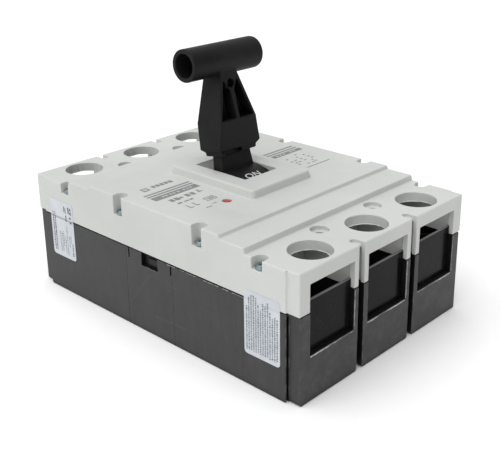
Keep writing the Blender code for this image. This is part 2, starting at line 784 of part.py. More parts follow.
# ---- operating mechanism -------------------------------------------------------------
def make_side_plates():
    outline = [(-34, 6.3), (-12, 6.3), (-12, 30), (-6, 48), (26, 48), (26, 6.3), (34, 6.3),
               (34, 60), (22, 84), (-22, 84), (-34, 70)]
    for name, side in (("left", -1), ("right", 1)):
        x0, x1 = span(side * 18.6, side * 20.4)
        plate = Shape(f"mechanism_plate_{name}", prism_mesh("plate", outline, "X", x0, x1),
                      steel())
        plate.cut(cylinder_mesh("pivot_hole", 3.0, (side * 19.5, PIVOT_Y, PIVOT_Z), 6, "X", 20),
                  cylinder_mesh("cradle_hole", 2.5, (side * 19.5, -26, 66), 6, "X", 20))
        plate.smooth()


def make_fork(toggle_frame):
    """Steel lever with two trunnions, which carries the plastic toggle."""
    outline = [(-5, -6), (5, -6), (5, 34), (-5, 34)]
    fork = Shape("toggle_fork", prism_mesh("arm", outline, "X", -14, -12), steel(), toggle_frame)
    fork.join(prism_mesh("arm", outline, "X", 12, 14),
              box_mesh("bridge", (-12.5, -2.5, 14), (12.5, 2.5, 17)),
              cylinder_mesh("trunnion", 2.6, (-17.2, 0, 0), 7.6, "X", 20),
              cylinder_mesh("trunnion", 2.6, (17.2, 0, 0), 7.6, "X", 20))
    return fork.smooth()


def make_toggle(toggle_frame):
    """Plastic toggle: curved shutter, stub that fills the window, tongue and boss."""
    start, end = SHUTTER_SPAN
    outer = arc((0, 0), SHUTTER_R, 90 - start, 90 - end, 40)
    inner = arc((0, 0), SHUTTER_R - SHUTTER_T, 90 - end, 90 - start, 40)
    shutter = prism_mesh("shutter", outer + inner, "X", -TOGGLE_HALF_X, TOGGLE_HALF_X)
    toggle = Shape("toggle", shutter, handle_plastic(), toggle_frame)
    foot = HANDLE_FOOT - 0.4
    stub = loft_mesh("stub", [(39.5, TOGGLE_HALF_X - 0.02, 5.0), (foot, 15.0, 4.6)])
    tongue = loft_mesh("tongue", [(foot - 1, 13.0, 4.2), (74.0, 12.6, 4.0)])
    boss = box_mesh("boss", (-11.5, -4, 20), (11.5, 4, 39.6))
    toggle.join(stub, tongue, boss)
    return toggle.smooth(25.0)


def recess_outline(side):
    """Corners (x, w) of one triangular recess beside the handle's centre rib."""
    corners = [(16.2, 78.8), (1.5, 78.8), (1.9, 99.5), (7.2, 107.5)]
    return [(side * x, w) for x, w in corners]


def grip_mesh():
    """The grip's tube body along X, with rounded rims."""
    bm = bmesh.new()
    bmesh.ops.create_cone(bm, cap_ends=True, segments=48, radius1=GRIP_R * MM,
                          radius2=GRIP_R * MM, depth=GRIP_LENGTH * MM)
    for end, width in ((-1, 0.7), (1, 2.6)):
        rim = [edge for edge in bm.edges
               if all(end * vert.co.z > GRIP_LENGTH * MM / 2.01 for vert in edge.verts)]
        bmesh.ops.bevel(bm, geom=rim, offset=width * MM, segments=3, profile=0.5,
                        affect="EDGES")
    place = Matrix.Translation((GRIP_SHIFT * MM, 0, GRIP_W * MM))
    bmesh.ops.transform(bm, matrix=place @ along("X"), verts=bm.verts)
    return mesh_from("grip", bm)


def make_handle(handle_frame):
    """Slip-on T handle: tapered stem with ribs and recesses, and a tube as the grip."""
    stem = loft_mesh("extension_handle", [
        (HANDLE_FOOT, 17.6, 9.0), (HANDLE_LIP, 17.8, 9.2), (HANDLE_SKIRT, 21.0, 10.9),
        (HANDLE_SHOULDER, 18.2, 13.0), (HANDLE_NECK, 8.2, 9.0), (GRIP_W, 7.6, 8.6)])
    handle = Shape("extension_handle", stem, handle_plastic(), handle_frame)
    handle.join(grip_mesh())
    cutters = [cylinder_mesh("grip_bore", GRIP_BORE_R, (0, 0, GRIP_W), 90, "X", sides=40),
               box_mesh("socket", (-13.6, -4.8, HANDLE_FOOT - 2), (13.6, 4.8, 75.5)),
               box_mesh("foot_notch", (-14.5, -20, HANDLE_FOOT - 2), (2.5, -4.0, 56.6))]
    for face in (-1, 1):
        for side in (-1, 1):
            y0, y1 = span(face * 1.5, face * 20)
            cutters.append(prism_mesh("recess", recess_outline(side), "Y", y0, y1))
    handle.cut(*cutters)
    boss = cylinder_mesh("pin_boss", 5.4, (0, 0, 104.8), 17.8, "Y", sides=32)
    handle.join(boss)
    handle.cut(cylinder_mesh("pin_hole", 3.2, (0, 0, 104.8), 40, "Y", sides=24))
    return handle.smooth()


def make_main_springs():
    """Two coil springs from the fork's bridge down to the link's upper pin."""
    for name, x in (("left", -6.0), ("right", 6.0)):
        points = helix_points(2.3, 0.0, 12.2, 6, 8, (0, 0))
        place = (Matrix.Translation(Vector((x, -3.5, 60.7)) * MM)
                 @ Matrix.Rotation(math.radians(-24), 4, "X"))
        mesh = wire_mesh(f"main_spring_{name}", points, 0.5, place)
        Shape(f"main_spring_{name}", mesh, steel())


def make_drive_link(link_frame):
    """Two straps and two pins between the shaft's ear and the springs' lower end."""
    knee = (-7.0, 9.1)
    outline = arc((0, 0), 3.6, 210, 390, 10) + arc(knee, 3.6, 20, 200, 10)
    link = Shape("drive_link", prism_mesh("strap", outline, "X", -10.4, -8.9), steel(),
                 link_frame)
    link.join(prism_mesh("strap", outline, "X", 8.9, 10.4),
              cylinder_mesh("ear_pin", 2.0, (0, 0, 0), 20.4, "X", 16),
              cylinder_mesh("knee_pin", 2.0, (0, *knee), 20.4, "X", 16))
    return link.smooth()


def make_cradle(cradle_frame):
    """Latched lever that pivots in the side plates on its own trunnions."""
    outline = [(-6, -3), (4, -4), (50, -2), (50, 4), (4, 4), (-6, 3)]
    cradle = Shape("latch_cradle", prism_mesh("cradle", outline, "X", -2, 2), steel(),
                   cradle_frame)
    cradle.join(cylinder_mesh("cradle_pin", 2.1, (0, 0, 0), 42, "X", 16))
    return cradle.smooth()


# ---- trip parts ------------------------------------------------------------------
def make_trip_button(button_frame):
    top = 96.2
    button = Shape("trip_button",
                   cylinder_mesh("head", BUTTON_R, (0, 0, (91 + top) / 2), top - 91, sides=24),
                   button_plastic(), button_frame)
    button.join(cylinder_mesh("flange", 4.8, (0, 0, 91.4), 2.4, sides=24),
                cylinder_mesh("rod", 1.9, (0, 0, (69.9 + 91) / 2), 91 - 69.9, sides=16))
    return button.smooth()


def make_trip_bar(trip_frame):
    """Bar across the poles: a tab up for each pole, one for the button, one for the latch."""
    bar = Shape("trip_bar", cylinder_mesh("bar", TRIP_R, (0, 0, 0), 158, "X", 20),
                inner_plastic(), trip_frame)
    tabs = [prism_mesh("pole_tab", [(-4.5, -3), (0, -3), (0, 3), (-2.5, 4), (-2.5, 14),
                                    (-4.5, 14)], "X", pole - 14, pole + 14)
            for _, pole in POLES]
    tabs.append(box_mesh("button_tab", (BUTTON_X - 3.5, 0, 0), (BUTTON_X + 3.5, 19, 3.5)))
    tabs.append(box_mesh("latch_tab", (-3, 0, -3.8), (3, 13.5, -0.8)))
    bar.join(*tabs)
    return bar.smooth()


def make_trip_spring():
    """Torsion coil round the trip bar, beside the outer pole's tab."""
    points = helix_points(5.2, 0.0, 5.4, 3, 12, (0, 0))
    place = (Matrix.Translation(Vector((-78.6, TRIP_Y, TRIP_Z)) * MM) @ along("X"))
    mesh = wire_mesh("trip_bar_spring", points, 0.5, place)
    Shape("trip_bar_spring", mesh, steel())


def make_trip_units():
    """Magnet yoke round each load bar, and the bimetal strip that stands on it."""
    for letter, pole in POLES:
        low, high, leg = 28.0, 55.0, 3.0
        outer, inner = BAR_HALF_X + 0.5 + leg, BAR_HALF_X + 0.5
        outline = [(pole - outer, low), (pole + outer, low), (pole + outer, high),
                   (pole + inner, high), (pole + inner, BAR_Z[0] - GAP),
                   (pole - inner, BAR_Z[0] - GAP), (pole - inner, high), (pole - outer, high)]
        Shape(f"magnet_yoke_{letter}", prism_mesh("yoke", outline, "Y", -73, -61), steel())
        strip = [(-58.0, BAR_Z[1] + GAP), (-50.0, BAR_Z[1] + GAP), (-50.0, 40.8),
                 (-56.8, 40.8), (-56.8, 77.0), (-58.0, 77.0)]
        Shape(f"bimetal_{letter}", prism_mesh("bimetal", strip, "X", pole + 7, pole + 13),
              copper())


def make_armatures():
    """Hinged plates over the yokes, each with an arm up towards the trip bar's tab."""
    for letter, pole in POLES:
        frame = empty(f"armature_axis_{letter}", (pole, ARMATURE_Y, ARMATURE_Z))
        outline = [(-1.5, -1), (14, -1), (14, 13), (21.5, 13), (21.5, 15), (12, 15), (12, 1),
                   (-1.5, 1)]
        plate = box_mesh("plate", (-17, -1.5, -1), (17, 13, 1))
        armature = Shape(f"armature_{letter}", plate, steel(), frame)
        armature.join(prism_mesh("arm", outline, "X", -3, 3))


def make_braids():
    """Flexible copper straps from each load bar to its moving contact."""
    outline = [(-48.5, 39.1), (-43.2, 39.1), (-32, 24.3), (-11, 23.8), (1.6, 30.8),
               (0.3, 33.5), (-12, 26.5), (-31, 27), (-42.2, 41.6), (-48.5, 41.6)]
    for letter, pole in POLES:
        Shape(f"flexible_braid_{letter}", prism_mesh("braid", outline, "X", pole - 5, pole + 5),
              copper())


def build():
    clear_scene()
    new_collection(COLLECTION)
    new_collection(CUTTERS)
    make_base()
    make_cover()
    make_cover_screws()
    make_terminal_plates()
    make_terminal_bars()
    make_labels()

    toggle_frame = empty("toggle_axis", (0, PIVOT_Y, PIVOT_Z), -LEAN_DEG)
    make_fork(toggle_frame)
    make_toggle(toggle_frame)
    make_handle(empty("handle_axis", (0, 0, 0), 0, toggle_frame))
    make_side_plates()
    make_main_springs()

    shaft_frame = empty("shaft_axis", (0, SHAFT_Y, SHAFT_Z), 0)
    make_contact_shaft(shaft_frame)
    make_moving_contacts(empty("contact_frame", (0, 0, 0), CONTACT_OPEN_DEG, shaft_frame))
    make_drive_link(empty("link_axis", (0, -10, 9.9), 0, shaft_frame))
    make_cradle(empty("cradle_axis", (0, -26, 66)))
    make_arc_chutes()
    make_braids()

    make_trip_button(empty("button_axis", (BUTTON_X, BUTTON_Y, 0)))
    make_trip_bar(empty("trip_axis", (0, TRIP_Y, TRIP_Z)))
    make_trip_spring()
    make_trip_units()
    make_armatures()


build()
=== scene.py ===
"""Looks of the three-pole moulded-case breaker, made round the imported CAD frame.

Frame: X across the poles, Y along them (line end +Y, load end -Y), Z up, in metres.
The CAD nodes keep their meshes and places. They get finishes and edge modifiers
here, and the thin things that CAD leaves out are built as pieces of their own.
"""

import math
import random

import bmesh
import bpy
from mathutils import Matrix, Vector


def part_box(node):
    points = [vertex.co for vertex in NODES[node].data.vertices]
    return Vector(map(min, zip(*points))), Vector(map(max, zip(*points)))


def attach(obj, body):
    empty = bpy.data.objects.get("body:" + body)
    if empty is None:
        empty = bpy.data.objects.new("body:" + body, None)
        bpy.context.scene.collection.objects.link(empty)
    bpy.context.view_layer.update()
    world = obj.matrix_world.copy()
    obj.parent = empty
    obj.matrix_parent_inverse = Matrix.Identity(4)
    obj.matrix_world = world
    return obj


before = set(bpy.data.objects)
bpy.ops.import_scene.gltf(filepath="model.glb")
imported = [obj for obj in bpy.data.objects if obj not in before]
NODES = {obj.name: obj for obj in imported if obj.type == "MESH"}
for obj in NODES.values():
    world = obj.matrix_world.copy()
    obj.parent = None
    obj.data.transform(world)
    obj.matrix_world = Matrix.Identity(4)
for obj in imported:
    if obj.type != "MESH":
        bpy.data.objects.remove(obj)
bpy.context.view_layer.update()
MM = 0.001

# ---- places the finishes and thin pieces are fitted to --------------------------
SEAM_MM = 61.4                 # where the cover meets the base
POLES_MM = (-58.0, 0.0, 58.0)
HALF_L_MM = 135.0
HALF_W_MM = 91.0
PLATFORM_MM = 97.0
SILL_MM = 32.4
WINDOW_HALF_MM = 21.75
POCKETS_MM = 30.0              # the side pockets and slots lie within this of the middle
SEAM_WEAR_MM = (-18.0, -118.0)  # where flash shows along the seam, in Y
PIVOT_MM = 61.0
LEAN = math.radians(9.95)
SHUTTER_R_MM = 41.0
WORD_ARC_MM = 19.9             # from the middle of the toggle to each word, along the shutter
BOLT_Y_MM = 116.3
BOLT_HOLE_MM = 14.5            # radius of the bolt access holes
ROOF_MM = 83.6                 # underside of the cover over the terminals
PLATE_TOP_MM = 67.9            # upper edge of the terminal plates

# ---- thin pieces: thickness, sinking and fineness, in mm --------------------------
PRINT_MM = 0.05
PALE_PRINT_MM = 0.08
LABEL_PRINT_MM = 0.03
WORD_MM = 0.12
RUB_MARK_MM = 0.02
SUNK_MM = 0.03                 # how far a thin piece starts below its ground
STROKE_STEP_MM = 0.9           # plates along a stroke are no longer than this
RING_STEPS = 28
BURR_STEP_MM = 0.8
BURR_FOOT_MM = 0.05
FLASH_STEPS = 90

# the camera: direction from the object, roll, aim offsets and distance
CAM_AZIMUTH = math.radians(-46.07)
CAM_ELEVATION = math.radians(19.31)
CAM_ROLL = math.radians(-0.77)
CAM_DISTANCE = 665.6 * MM
CAM_LENS = 63.0
CAM_SHIFT_Y = -0.10
CAM_AIM_Z = 60 * MM
CAM_SIDE, CAM_UP = 6.5 * MM, 34.8 * MM


# ---- shader helpers ------------------------------------------------------------
class Finish:
    """A material with short names for the shader nodes that every finish uses."""

    def __init__(self, name, roughness, metallic=0.0):
        self.material = bpy.data.materials.new(name)
        self.material.use_nodes = True
        self.tree = self.material.node_tree
        self.shader = self.tree.nodes["Principled BSDF"]
        self.place = self.add("ShaderNodeTexCoord").outputs["Object"]
        self.set("Roughness", roughness)
        self.set("Metallic", metallic)

    def add(self, kind, **settings):
        node = self.tree.nodes.new(kind)
        for key, value in settings.items():
            setattr(node, key, value)
        return node

    def link(self, source, target):
        self.tree.links.new(source, target)

    def set(self, socket, value):
        self.shader.inputs[socket].default_value = value

    def feed(self, socket, source):
        self.link(source, self.shader.inputs[socket])

    def plug(self, socket, value):
        """Links an output to a socket, or writes a number or colour into it."""
        if isinstance(value, bpy.types.NodeSocket):
            self.link(value, socket)
        elif isinstance(value, tuple):
            socket.default_value = (*value, 1.0)
        else:
            socket.default_value = value

    def stretched(self, scale):
        mapping = self.add("ShaderNodeMapping")
        mapping.inputs["Scale"].default_value = scale
        self.link(self.place, mapping.inputs["Vector"])
        return mapping.outputs["Vector"]

    def noise(self, scale, detail=3.0, roughness=0.5, stretch=None, distortion=0.0):
        """Cloudy noise, 0 to 1; scale is in cells for each metre."""
        node = self.add("ShaderNodeTexNoise")
        node.inputs["Scale"].default_value = scale
        node.inputs["Detail"].default_value = detail
        node.inputs["Roughness"].default_value = roughness
        node.inputs["Distortion"].default_value = distortion
        self.link(self.stretched(stretch) if stretch else self.place, node.inputs["Vector"])
        return node.outputs["Fac"]

    def cells(self, scale):
        """Distance to the nearest of scattered points, for specks."""
        node = self.add("ShaderNodeTexVoronoi")
        node.inputs["Scale"].default_value = scale
        self.link(self.place, node.inputs["Vector"])
        return node.outputs["Distance"]

    def spread(self, value, low, high, start=0.0, end=1.0):
        """Maps low..high smoothly to start..end."""
        node = self.add("ShaderNodeMapRange", interpolation_type="SMOOTHSTEP")
        self.link(value, node.inputs["Value"])
        for key, number in (("From Min", low), ("From Max", high),
                            ("To Min", start), ("To Max", end)):
            node.inputs[key].default_value = number
        return node.outputs["Result"]

    def math(self, operation, first, second):
        node = self.add("ShaderNodeMath", operation=operation)
        self.plug(node.inputs[0], first)
        self.plug(node.inputs[1], second)
        return node.outputs["Value"]

    def blend(self, first, second, amount):
        """The colour first where amount is 0, second where it is 1."""
        node = self.add("ShaderNodeMix", data_type="RGBA")
        self.plug(node.inputs["Factor"], amount)
        self.plug(node.inputs["A"], first)
        self.plug(node.inputs["B"], second)
        return node.outputs["Result"]

    def edges(self, radius):
        """1 within radius of an edge, convex or concave, and 0 on flat ground."""
        rounded = self.add("ShaderNodeBevel", samples=6)
        rounded.inputs["Radius"].default_value = radius
        geometry = self.add("ShaderNodeNewGeometry")
        dot = self.add("ShaderNodeVectorMath", operation="DOT_PRODUCT")
        self.link(rounded.outputs["Normal"], dot.inputs[0])
        self.link(geometry.outputs["True Normal"], dot.inputs[1])
        return self.spread(dot.outputs["Value"], 0.75, 0.99, 1.0, 0.0)

    def hollows(self, distance):
        """0 in corners and holes, 1 in the open."""
        node = self.add("ShaderNodeAmbientOcclusion", samples=6)
        node.inputs["Distance"].default_value = distance
        return node.outputs["AO"]

    def height(self, axis):
        """The object's own X, Y or Z, in metres."""
        node = self.add("ShaderNodeSeparateXYZ")
        self.link(self.place, node.inputs["Vector"])
        return node.outputs[axis]

    def from_zero(self, value):
        return self.math("ABSOLUTE", value, 0.0)

    def outside_of_painted_recess_shade(self):
        """0 on the inner faces of windows, slots and side pockets, painted black there as
        shade; 1 on outer faces.
        """
        depth = self.from_zero(self.height("Y"))
        side = self.from_zero(self.height("X"))
        behind = self.spread(depth, (HALF_L_MM - 0.7) * MM, (HALF_L_MM - 0.3) * MM, 1.0, 0.0)
        inboard = self.spread(side, (HALF_W_MM - 5) * MM, (HALF_W_MM - 4) * MM, 1.0, 0.0)
        in_window = self.math("MULTIPLY", behind, inboard)
        middle = self.spread(depth, POCKETS_MM * MM, (POCKETS_MM + 1) * MM, 1.0, 0.0)
        sunk = self.spread(side, (HALF_W_MM - 0.7) * MM, (HALF_W_MM - 0.4) * MM, 0.85, 0.0)
        inside = self.math("MAXIMUM", in_window, self.math("MULTIPLY", middle, sunk))
        raised = self.spread(self.height("Z"), 1 * MM, 2 * MM)
        return self.math("SUBTRACT", 1.0, self.math("MULTIPLY", inside, raised))

    def bump(self, *layers):
        """Layers are (height, strength, distance in metres), coarse first."""
        normal = None
        for height, strength, distance in layers:
            node = self.add("ShaderNodeBump")
            node.inputs["Strength"].default_value = strength
            node.inputs["Distance"].default_value = distance
            self.link(height, node.inputs["Height"])
            if normal is not None:
                self.link(normal, node.inputs["Normal"])
            normal = node.outputs["Normal"]
        self.feed("Normal", normal)
        return self


# ---- finishes -------------------------------------------------------------------
def cover_finish():
    """Light grey moulded thermoset: spark-eroded grain, sink marks, handling dirt, a painted
    highlight on every edge and painted shade in its hollows.
    """
    look = Finish("cover_moulding", 0.42)
    look.set("Specular IOR Level", 0.3)
    cloud = look.noise(9, 4, 0.6)
    grain = look.noise(1900, 2)
    dust = look.spread(look.noise(240, 5, 0.7), 0.62, 0.80)
    colour = look.blend((0.520, 0.534, 0.511), (0.562, 0.574, 0.553),
                        look.spread(cloud, 0.35, 0.65))
    colour = look.blend(colour, (0.46, 0.47, 0.45), look.math("MULTIPLY", dust, 0.35))
    # painted highlight: every edge, convex or concave, is made lighter
    edge_lightening = look.math("MULTIPLY", look.edges(0.8 * MM), 0.8)
    colour = look.blend(colour, (0.76, 0.78, 0.76), edge_lightening)
    # painted shade: the colour is darker in corners and hollows
    shade = look.spread(look.hollows(5 * MM), 0.05, 0.6)
    look.feed("Base Color", look.blend((0.46, 0.47, 0.45), colour, shade))
    look.feed("Roughness", look.spread(look.noise(60, 4), 0.3, 0.7, 0.38, 0.52))
    return look.bump((look.noise(34, 2), 0.06, 1.2 * MM), (grain, 0.10, 0.10 * MM))


def base_finish():
    """Black glass-filled moulding: satin, faintly streaked, scuffed, worn on its edges, with
    painted shade in its hollows and painted black inside its windows, slots and side pockets.
    """
    look = Finish("base_moulding", 0.45)
    look.set("Specular IOR Level", 0.26)
    streak = look.noise(120, 5, 0.65, stretch=(1, 1, 0.25), distortion=0.6)
    colour = look.blend((0.033, 0.033, 0.034), (0.048, 0.048, 0.049),
                        look.spread(streak, 0.3, 0.7))
    speck = look.spread(look.cells(420), 0.02, 0.10, 1.0, 0.0)
    thin = look.math("MULTIPLY", speck, look.spread(look.noise(35, 2), 0.5, 0.7))
    colour = look.blend(colour, (0.19, 0.19, 0.19), look.math("MULTIPLY", thin, 0.6))
    drawn = look.noise(300, 2, stretch=(1, 0.05, 1.6), distortion=0.2)
    scratch = look.spread(drawn, 0.70, 0.74)
    colour = look.blend(colour, (0.10, 0.10, 0.105), look.math("MULTIPLY", scratch, 0.30))
    depth = look.from_zero(look.height("Y"))
    ends = look.spread(depth, (HALF_L_MM - 2) * MM, (HALF_L_MM - 0.5) * MM, 0.2, 1.0)
    dust = look.math("MULTIPLY", look.spread(look.noise(75, 6, 0.75), 0.40, 0.72), ends)
    colour = look.blend(colour, (0.078, 0.078, 0.078), look.math("MULTIPLY", dust, 0.65))
    patches = look.spread(look.noise(170, 4), 0.42, 0.66)
    worn = look.math("MULTIPLY", look.edges(0.9 * MM), patches)
    colour = look.blend(colour, (0.34, 0.34, 0.34), look.math("MULTIPLY", worn, 0.6))
    # painted shade: darker in hollows, and black on the inner faces of windows, slots and side
    # pockets
    shade = look.spread(look.hollows(6 * MM), 0.35, 0.92)
    shade = look.math("MULTIPLY", shade, look.outside_of_painted_recess_shade())
    look.feed("Base Color", look.blend((0.005, 0.005, 0.005), colour, shade))
    look.feed("Roughness", look.spread(streak, 0.25, 0.75, 0.40, 0.56))
    return look.bump((look.noise(26, 2), 0.10, 1.0 * MM),
                     (look.noise(1500, 2), 0.16, 0.10 * MM))


def insert_finish():
    """Glossy black plate with smears, worn edges and a light line along its top edge."""
    look = Finish("insert_moulding", 0.16)
    smear = look.noise(40, 5, 0.6, stretch=(1, 1, 0.5), distortion=1.2)
    look.set("Specular IOR Level", 0.07)
    colour = look.blend((0.004, 0.004, 0.004), (0.009, 0.008, 0.009),
                        look.spread(smear, 0.35, 0.7))
    patches = look.spread(look.noise(260, 4), 0.35, 0.6)
    worn = look.math("MULTIPLY", look.edges(0.5 * MM), patches)
    # a lighter line set along the plate's top edge by height
    rim = look.spread(look.height("Z"), (PLATE_TOP_MM - 0.7) * MM, (PLATE_TOP_MM - 0.3) * MM)
    worn = look.math("MAXIMUM", worn, look.math("MULTIPLY", rim, 0.55))
    worn = look.math("MULTIPLY", worn, 0.7)
    look.feed("Base Color", look.blend(colour, (0.42, 0.42, 0.42), worn))
    look.feed("Roughness", look.spread(smear, 0.3, 0.75, 0.12, 0.34))
    return look.bump((look.noise(60, 2), 0.05, 0.4 * MM))


def handle_finish():
    """Black nylon: fine matt grain, lighter edges, a little dust, and painted shade in its
    hollows.
    """
    look = Finish("handle_moulding", 0.45)
    look.set("Specular IOR Level", 0.12)
    # painted shade: the bore and other hollows are darkened towards black
    open_air = look.spread(look.hollows(12 * MM), 0.25, 0.8)
    cloud = look.noise(45, 4, 0.6)
    colour = look.blend((0.008, 0.008, 0.009), (0.014, 0.014, 0.015),
                        look.spread(cloud, 0.3, 0.7))
    edge_lightening = look.math("MULTIPLY", look.edges(0.5 * MM), 0.35)
    colour = look.blend(colour, (0.07, 0.07, 0.075), edge_lightening)
    dust = look.spread(look.cells(700), 0.02, 0.09, 1.0, 0.0)
    dust = look.math("MULTIPLY", dust, look.spread(look.noise(70, 2), 0.55, 0.7))
    colour = look.blend(colour, (0.16, 0.16, 0.16), look.math("MULTIPLY", dust, 0.4))
    look.feed("Base Color", look.blend((0.002, 0.002, 0.002), colour, open_air))
    look.feed("Roughness", look.spread(cloud, 0.3, 0.7, 0.40, 0.55))
    return look.bump((look.noise(1700, 2), 0.22, 0.12 * MM))


def inner_finish():
    """Dark brown phenolic of the shafts and bars inside."""
    look = Finish("phenolic", 0.5)
    fleck = look.noise(500, 4, 0.7)
    amount = look.spread(fleck, 0.35, 0.7)
    look.feed("Base Color", look.blend((0.060, 0.045, 0.035), (0.13, 0.10, 0.08), amount))
    look.feed("Roughness", look.spread(fleck, 0.3, 0.7, 0.42, 0.62))
    return look.bump((fleck, 0.2, 0.1 * MM))


def button_finish():
    """Red moulding of the push-to-trip button, paler on its rim."""
    look = Finish("red_button", 0.3)
    cloud = look.noise(300, 3)
    colour = look.blend((0.34, 0.03, 0.03), (0.50, 0.09, 0.08), look.spread(cloud, 0.3, 0.7))
    edge_lightening = look.math("MULTIPLY", look.edges(0.5 * MM), 0.8)
    look.feed("Base Color", look.blend(colour, (0.72, 0.42, 0.40), edge_lightening))
    look.feed("Roughness", look.spread(cloud, 0.3, 0.7, 0.24, 0.40))
    return look.bump((look.noise(1500, 2), 0.08, 0.08 * MM))


def metal_finish(name, dark, light, roughness, tint=None, brush=(1, 1, 0.08)):
    """Rolled or plated metal: drawn lines, mottling, tarnish in the corners."""
    look = Finish(name, roughness, metallic=1.0)
    lines = look.noise(900, 3, 0.6, stretch=brush)
    mottle = look.noise(160, 4, 0.6)
    colour = look.blend(dark, light, look.spread(mottle, 0.3, 0.7))
    if tint:
        colour = look.blend(colour, tint, look.spread(look.noise(90, 3), 0.45, 0.7, 0.0, 0.8))
    shade = look.spread(look.hollows(3 * MM), 0.1, 0.8)
    look.feed("Base Color", look.blend(tuple(part * 0.35 for part in dark), colour, shade))
    look.feed("Roughness", look.spread(lines, 0.25, 0.75, roughness * 0.75, roughness * 1.35))
    return look.bump((lines, 0.12, 0.05 * MM), (mottle, 0.05, 0.1 * MM))


def braid_finish():
    """Copper braid: crossed wire bundles as bump and colour."""
    look = Finish("copper_braid", 0.35, metallic=1.0)
    weave = []
    for turn in (0.7, -0.7):
        mapping = look.add("ShaderNodeMapping")
        mapping.inputs["Rotation"].default_value = (turn, 0.0, turn)
        look.link(look.place, mapping.inputs["Vector"])
        wave = look.add("ShaderNodeTexWave")
        wave.inputs["Scale"].default_value = 260
        look.link(mapping.outputs["Vector"], wave.inputs["Vector"])
        weave.append(wave.outputs["Fac"])
    cross = look.math("MULTIPLY", *weave)
    look.feed("Base Color", look.blend((0.35, 0.15, 0.08), (0.80, 0.44, 0.28), cross))
    look.feed("Roughness", look.spread(cross, 0.0, 1.0, 0.5, 0.3))
    return look.bump((cross, 0.6, 0.4 * MM))


def label_finish():
    """White film: fibres, handling marks, and the housing's seam pressing through, with
    painted shade along its crease.
    """
    look = Finish("label_film", 0.38)
    cloud = look.noise(70, 5, 0.6)
    colour = look.blend((0.49, 0.52, 0.56), (0.57, 0.60, 0.63), look.spread(cloud, 0.3, 0.7))
    offset = look.math("SUBTRACT", look.height("Z"), SEAM_MM * MM)
    seam = look.spread(look.from_zero(offset), 0.3 * MM, 1.2 * MM, 1.0, 0.0)
    line_end = look.spread(look.height("Y"), -1 * MM, 1 * MM)
    seam = look.math("MULTIPLY", seam, look.spread(line_end, 0.0, 1.0, 0.15, 1.0))
    # painted shade: a dark line along the crease where the seam presses through
    colour = look.blend(colour, (0.24, 0.25, 0.28), look.math("MULTIPLY", seam, 0.8))
    look.feed("Base Color", colour)
    look.feed("Roughness", look.spread(cloud, 0.3, 0.7, 0.30, 0.46))
    dent = look.math("MULTIPLY", seam, -1.0)
    return look.bump((look.noise(900, 3), 0.08, 0.05 * MM), (dent, 0.5, 0.2 * MM))


def ink_finish(name, low, high):
    """Pad-printed ink, thin and slightly uneven."""
    look = Finish(name, 0.5)
    patchy = look.noise(600, 4, 0.7)
    look.feed("Base Color", look.blend(low, high, look.spread(patchy, 0.3, 0.75)))
    look.feed("Roughness", look.spread(patchy, 0.3, 0.7, 0.42, 0.62))
    return look.bump((patchy, 0.1, 0.03 * MM))


def floor_finish():
    """Matt white paper sweep with a hardly visible grain."""
    look = Finish("paper_floor", 0.9)
    fibre = look.noise(40, 5)
    look.feed("Base Color", look.blend((0.94, 0.94, 0.94), (0.97, 0.97, 0.97), fibre))
    return look.bump((look.noise(300, 3), 0.03, 0.2 * MM))


def make_finishes():
    """Every finish by the record's slot name, and the few that no slot has."""
    return {
        "cover_plastic": cover_finish(),
        "base_plastic": base_finish(),
        "insert_plastic": insert_finish(),
        "handle_plastic": handle_finish(),
        "inner_plastic": inner_finish(),
        "button_plastic": button_finish(),
        "zinc": metal_finish("zinc_plate", (0.24, 0.31, 0.33), (0.42, 0.49, 0.52), 0.34,
                             tint=(0.22, 0.36, 0.38), brush=(1, 1, 1)),
        "copper": metal_finish("bare_copper", (0.50, 0.24, 0.14), (0.78, 0.45, 0.30), 0.34,
                               brush=(1, 0.06, 1)),
        "silvered_copper": metal_finish("silvered_bar", (0.60, 0.59, 0.57), (0.78, 0.77, 0.75),
                                        0.28, brush=(1, 0.06, 1)),
        "steel": metal_finish("plated_steel", (0.36, 0.36, 0.37), (0.56, 0.56, 0.57), 0.38),
        "label_paper": label_finish(),
        "braid": braid_finish(),
        "grey_ink": ink_finish("grey_ink", (0.15, 0.15, 0.15), (0.24, 0.25, 0.25)),
        "pale_ink": ink_finish("pale_ink", (0.40, 0.41, 0.41), (0.50, 0.51, 0.51)),
        "label_ink": ink_finish("label_ink", (0.08, 0.09, 0.11), (0.22, 0.24, 0.27)),
        "label_black": ink_finish("label_black", (0.04, 0.04, 0.05), (0.10, 0.10, 0.12)),
        "white_ink": ink_finish("white_ink", (0.46, 0.46, 0.47), (0.68, 0.68, 0.69)),
        "worn": ink_finish("worn_edge", (0.20, 0.20, 0.20), (0.85, 0.85, 0.85)),
        "scuff": ink_finish("scuff", (0.026, 0.026, 0.027), (0.036, 0.036, 0.037)),
    }


# ---- CAD nodes: finishes and edges --------------------------------------------------
SLOT_OF = (("base_housing", "base_plastic"), ("top_cover", "cover_plastic"),
           ("cover_screw", "zinc"), ("terminal_plate", "insert_plastic"),
           ("line_bar", "silvered_copper"), ("load_bar", "silvered_copper"),
           ("side_label", "label_paper"), ("extension_handle", "handle_plastic"),
           ("toggle_fork", "steel"), ("toggle", "handle_plastic"),
           ("contact_shaft", "inner_plastic"), ("trip_bar_spring", "steel"),
           ("trip_bar", "inner_plastic"), ("trip_button", "button_plastic"),
           ("moving_contact", "copper"), ("bimetal", "copper"), ("flexible_braid", "copper"))
